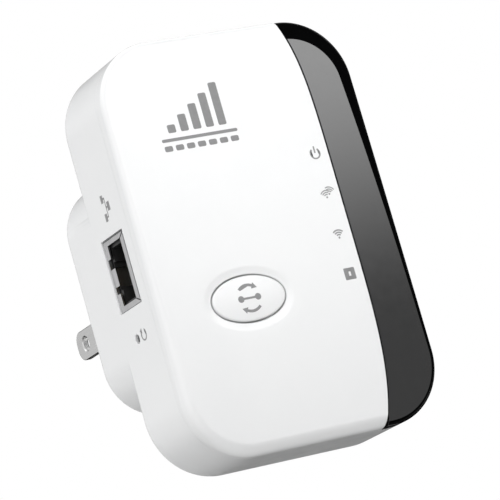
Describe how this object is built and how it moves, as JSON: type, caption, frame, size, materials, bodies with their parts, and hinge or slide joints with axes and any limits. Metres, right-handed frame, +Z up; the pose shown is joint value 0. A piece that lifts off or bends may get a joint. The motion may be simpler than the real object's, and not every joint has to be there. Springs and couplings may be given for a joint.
{
  "type": "plug-in wireless range extender",
  "caption": "White plug-in wireless range extender: rounded case with a smoked side strip, an oval pairing button, a LAN socket and a reset pinhole in its left side, and flat mains blades.",
  "frame": {"origin": "midway between the two blades, on the flat rear face that meets the wall outlet", "axes": "+Z up along the case's length, +Y out of the rear face along the blades, into the wall; the front faces -Y"},
  "size_m": [0.06, 0.0506, 0.09],
  "materials": {
    "white_plastic": "moulded, smooth satin gloss",
    "smoked_plastic": "smoked translucent, polished",
    "clear_plastic": "clear, polished",
    "black_plastic": "moulded, matt",
    "cream_plastic": "moulded, matt",
    "circuit_board": "solder-masked laminate",
    "nickel": "nickel plated, bright",
    "steel": "plain stamped sheet",
    "gold_plate": "gold plated",
    "ferrite": "pressed ferrite, dull",
    "yellow_tape": "wound film",
    "blue_epoxy": "dipped",
    "label_film": "blank printed film",
    "red_insulation": "extruded",
    "grey_insulation": "extruded"
  },
  "bodies": {
    "housing": {"blade_holder": "cream_plastic", "board_link_header": "black_plastic", "bridge_rectifier": "black_plastic", "case_screw_1": "steel", "case_screw_2": "steel", "case_screw_3": "steel", "case_screw_4": "steel", "clock_crystal": "nickel", "filter_choke": "ferrite", "front_cover": "white_plastic", "fuse_resistor": "cream_plastic", "indicator_led_1": "cream_plastic", "indicator_led_2": "cream_plastic", "indicator_led_3": "cream_plastic", "indicator_led_4": "cream_plastic", "input_capacitor_1": "black_plastic", "input_capacitor_2": "black_plastic", "lan_contact_1": "gold_plate", "lan_contact_2": "gold_plate", "lan_contact_3": "gold_plate", "lan_contact_4": "gold_plate", "lan_contact_5": "gold_plate", "lan_contact_6": "gold_plate", "lan_contact_7": "gold_plate", "lan_contact_8": "gold_plate", "lan_jack_insert": "black_plastic", "lan_jack_shield": "steel", "lan_transformer": "black_plastic", "left_antenna": "circuit_board", "left_antenna_lead": "grey_insulation", "left_blade": "nickel", "left_blade_lead": "red_insulation", "light_guide": "clear_plastic", "main_board": "circuit_board", "memory_chip": "black_plastic", "output_capacitor": "black_plastic", "pairing_switch": "black_plastic", "power_board": "circuit_board", "power_controller": "black_plastic", "radio_chip": "black_plastic", "radio_shield_can": "nickel", "rating_label": "label_film", "rear_housing": "white_plastic", "reset_switch": "black_plastic", "right_antenna": "circuit_board", "right_antenna_lead": "grey_insulation", "right_blade": "nickel", "right_blade_lead": "grey_insulation", "safety_capacitor": "blue_epoxy", "side_strip": "smoked_plastic", "transformer_core": "ferrite", "transformer_winding": "yellow_tape"},
    "pairing_button": {"pairing_button": "white_plastic"},
    "pairing_plunger": {"pairing_plunger": "cream_plastic"},
    "reset_plunger": {"reset_plunger": "black_plastic"}
  },
  "joints": [
    {"name": "pairing_button_press", "type": "slide", "parent": "housing", "child": "pairing_button", "axis": [0, 1, 0], "range_m": [0, 0.0005], "stiffness_N_per_m": 300},
    {"name": "pairing_plunger_travel", "type": "slide", "parent": "housing", "child": "pairing_plunger", "axis": [0, 1, 0], "range_m": [0, 0.0005]},
    {"name": "reset_plunger_press", "type": "slide", "parent": "housing", "child": "reset_plunger", "axis": [1, 0, 0], "range_m": [0, 0.0003], "stiffness_N_per_m": 200}
  ],
  "couplings": [
    {"joint": "pairing_plunger_travel", "follows": "pairing_button_press", "ratio": 1}
  ]
}
